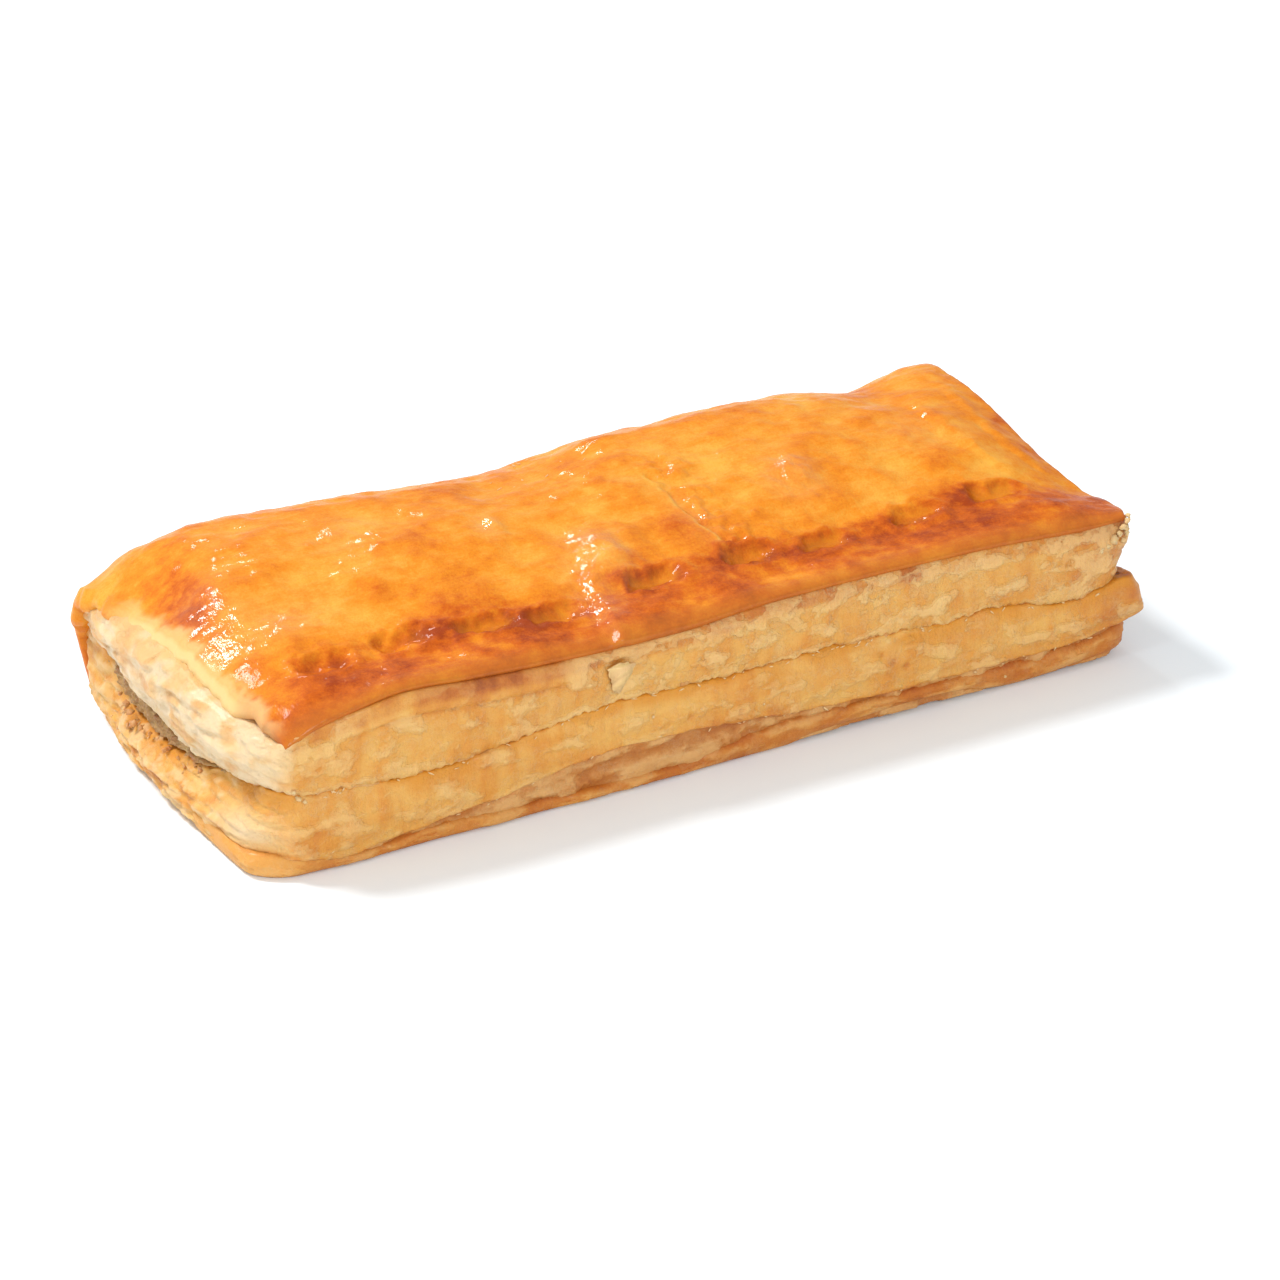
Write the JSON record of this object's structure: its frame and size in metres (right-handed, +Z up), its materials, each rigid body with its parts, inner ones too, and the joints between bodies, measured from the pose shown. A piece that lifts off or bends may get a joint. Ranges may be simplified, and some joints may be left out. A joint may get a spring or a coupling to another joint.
{
  "type": "sausage roll",
  "caption": "Flat puff pastry roll folded over a strip of seasoned meat, with a glazed top, a pressed front edge with a row of slots, flaky side layers and cut ends.",
  "frame": {"origin": "centre of the roll's footprint, on the surface that it rests on", "axes": "+X along the roll towards the end with the open layers, +Y towards the folded back edge, +Z up"},
  "size_m": [0.1707, 0.0719, 0.0357],
  "materials": {
    "baked_pastry": "golden orange glazed crust with brown patches round the slots, cream to gold flaky layers on the sides",
    "seasoned_meat": "moist grey-brown minced meat with reddish brown crumbs"
  },
  "bodies": {
    "root": {"pastry": "baked_pastry", "filling": "seasoned_meat"}
  },
  "joints": []
}
